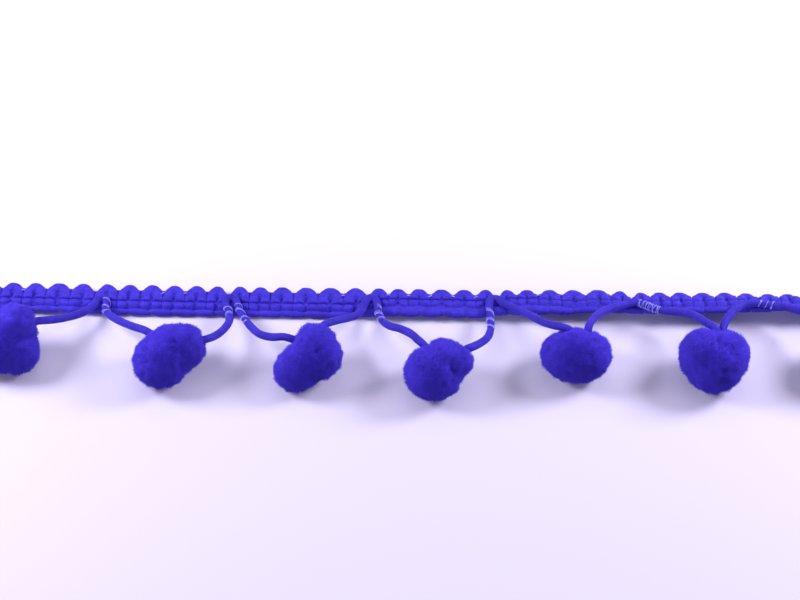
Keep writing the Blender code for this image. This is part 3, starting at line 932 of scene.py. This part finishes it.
def cord_finish():
    """A fine knitted tube: two sets of stitches that lean against each other."""
    finish, tree, shader = new_finish("knitted cord", CORD_LIGHT, 0.7, 0.3)
    tree.links.new(mottled(tree, CORD_DARK, CORD_LIGHT, 1.4), shader.inputs["Base Color"])
    place = node(tree, "ShaderNodeTexCoord")
    height = None
    for degrees in (38, -38):
        lean = node(tree, "ShaderNodeMapping")
        lean.inputs["Rotation"].default_value = (0.0, 0.0, math.radians(degrees))
        lines = node(tree, "ShaderNodeTexWave", bands_direction="X", Scale=0.9, Distortion=0.6, Detail=1.0)
        tree.links.new(place.outputs["UV"], lean.inputs["Vector"])
        tree.links.new(lean.outputs["Vector"], lines.inputs["Vector"])
        if height is None:
            height = lines.outputs["Fac"]
        else:
            both = node(tree, "ShaderNodeMath", operation="MAXIMUM")
            tree.links.new(height, both.inputs[0])
            tree.links.new(lines.outputs["Fac"], both.inputs[1])
            height = both.outputs["Value"]
    bump = node(tree, "ShaderNodeBump", Strength=0.45, Distance=0.05 * MM)
    tree.links.new(height, bump.inputs["Height"])
    tree.links.new(bump.outputs["Normal"], shader.inputs["Normal"])
    return finish


def pile_finish():
    """Cut pile with painted shade: dark on the skin and at each fibre's root, the full colour at the tip;
    each fibre a little different.
    """
    finish, tree, shader = new_finish("cut pile", PILE_TIP, 0.85, 0.35)
    place = node(tree, "ShaderNodeTexCoord")
    parts = node(tree, "ShaderNodeSeparateXYZ")
    ramp = node(tree, "ShaderNodeValToRGB")
    # Painted shade: the ramp runs from a dark colour on the skin and at the roots to the full colour at the
    # tips
    ramp.color_ramp.elements[0].position = 0.1
    ramp.color_ramp.elements[0].color = PILE_ROOT_PAINTED_SHADE
    ramp.color_ramp.elements[1].position = 1.0
    ramp.color_ramp.elements[1].color = PILE_TIP
    noise = node(tree, "ShaderNodeTexNoise", Scale=1 / (0.8 * MM), Detail=2.0)
    blend = node(tree, "ShaderNodeMapRange", From_Min=0.3, From_Max=0.7, To_Min=-0.22, To_Max=0.22)
    total = node(tree, "ShaderNodeMath", operation="ADD")
    tree.links.new(place.outputs["UV"], parts.inputs["Vector"])
    tree.links.new(place.outputs["Object"], noise.inputs["Vector"])
    tree.links.new(noise.outputs["Fac"], blend.inputs["Value"])
    tree.links.new(parts.outputs["Y"], total.inputs[0])
    tree.links.new(blend.outputs["Result"], total.inputs[1])
    tree.links.new(total.outputs["Value"], ramp.inputs["Fac"])
    shade = node(tree, "ShaderNodeMapRange", To_Min=0.84, To_Max=1.16)
    tint = node(tree, "ShaderNodeVectorMath", operation="SCALE")
    tree.links.new(parts.outputs["X"], shade.inputs["Value"])
    tree.links.new(ramp.outputs["Color"], tint.inputs[0])
    tree.links.new(shade.outputs["Result"], tint.inputs["Scale"])
    tree.links.new(tint.outputs["Vector"], shader.inputs["Base Color"])
    return finish


def filament_finish():
    """Clear nylon, glossy and half see-through."""
    finish, tree, shader = new_finish("clear filament", FILAMENT, 0.30, 0.0)
    shader.inputs["Specular IOR Level"].default_value = 0.4
    shader.inputs["Transmission Weight"].default_value = 0.5
    shader.inputs["IOR"].default_value = 1.5
    place = node(tree, "ShaderNodeTexCoord")
    noise = node(tree, "ShaderNodeTexNoise", Scale=1 / (0.3 * MM))
    bump = node(tree, "ShaderNodeBump", Strength=0.3, Distance=0.02 * MM)
    tree.links.new(place.outputs["Object"], noise.inputs["Vector"])
    tree.links.new(noise.outputs["Fac"], bump.inputs["Height"])
    tree.links.new(bump.outputs["Normal"], shader.inputs["Normal"])
    return finish


def make_studio():
    for name, around, up, distance, size, watts in LIGHTS:
        data = bpy.data.lights.new(name, "AREA")
        data.shape = "DISK"
        data.size = size * MM
        data.energy = watts
        data.color = LIGHT_COLOUR
        light = bpy.data.objects.new(name, data)
        around, up = math.radians(around), math.radians(up)
        away = Vector((math.sin(around) * math.cos(up), -math.cos(around) * math.cos(up), math.sin(up)))
        light.location = away * distance * MM
        light.rotation_mode = "QUATERNION"
        light.rotation_quaternion = away.to_track_quat("Z", "Y")
        bpy.context.scene.collection.objects.link(light)
    world = bpy.data.worlds.new("studio")
    world.use_nodes = True
    sky = world.node_tree.nodes["Background"]
    sky.inputs["Color"].default_value = SKY_COLOUR
    sky.inputs["Strength"].default_value = SKY_STRENGTH
    bpy.context.scene.world = world
    bpy.context.scene.view_settings.view_transform = "Standard"


def make_floor():
    half = FLOOR_SIZE / 2 * MM
    mesh = bpy.data.meshes.new("floor")
    corners = [(-half, -half, 0), (half, -half, 0), (half, half, 0), (-half, half, 0)]
    mesh.from_pydata(corners, [], [(0, 1, 2, 3)])
    finish, tree, shader = new_finish("pale floor painted lighter at the back", FLOOR_NEAR, 0.9, 0.0)
    # Painted light: the floor's colour grows lighter from the front towards the back
    place = node(tree, "ShaderNodeTexCoord")
    parts = node(tree, "ShaderNodeSeparateXYZ")
    depth = node(tree, "ShaderNodeMapRange", From_Min=0.0, From_Max=FLOOR_PAINTED_LIGHT_FADE * MM)
    ramp = node(tree, "ShaderNodeValToRGB")
    ramp.color_ramp.elements[0].color = FLOOR_NEAR
    ramp.color_ramp.elements[1].color = FLOOR_FAR_PAINTED_LIGHT
    tree.links.new(place.outputs["Object"], parts.inputs["Vector"])
    tree.links.new(parts.outputs["Y"], depth.inputs["Value"])
    tree.links.new(depth.outputs["Result"], ramp.inputs["Fac"])
    tree.links.new(ramp.outputs["Color"], shader.inputs["Base Color"])
    mesh.materials.append(finish)
    floor = bpy.data.objects.new("floor", mesh)
    bpy.context.scene.collection.objects.link(floor)


def main():
    make_camera()
    make_studio()
    make_floor()
    route = smooth_rows(cord_rows(), CORD_STEP)
    make_heading(route, yarn_finish())
    make_cord(route, cord_finish())
    make_binding(route, filament_finish())
    pile = pile_finish()
    for number, ball in enumerate(BALLS, 1):
        make_ball(number, ball, route, pile)


main()
